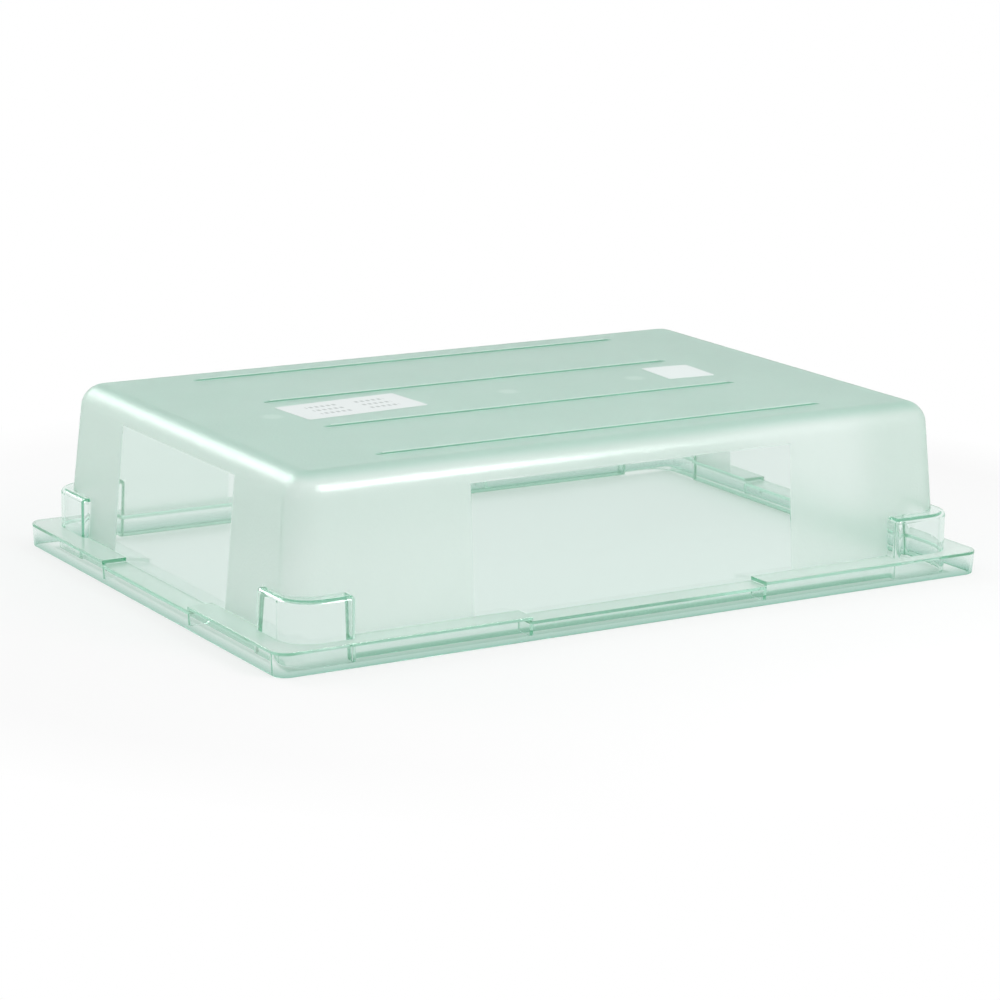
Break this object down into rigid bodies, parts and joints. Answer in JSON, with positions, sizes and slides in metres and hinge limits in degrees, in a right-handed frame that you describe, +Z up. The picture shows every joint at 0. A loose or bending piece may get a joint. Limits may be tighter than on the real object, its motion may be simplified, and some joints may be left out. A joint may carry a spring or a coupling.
{
  "type": "food storage box",
  "caption": "Large shallow clear box with tapered walls, a stepped ledge and skirt round its mouth, corner shoulders and a ribbed base, resting upside down on its rim.",
  "frame": {"origin": "middle of the rim's footprint, on the surface the upturned box rests on", "axes": "+X along the long side, +Y along the short side, +Z up through the base, away from the mouth"},
  "size_m": [0.6598, 0.4568, 0.1442],
  "materials": {
    "tub": "clear pale green polycarbonate, polished windows between frosted corners",
    "label_large": "matte film",
    "label_small": "matte film"
  },
  "bodies": {
    "root": {"tub": "tub", "large_label": "label_large", "small_label": "label_small"}
  },
  "joints": []
}
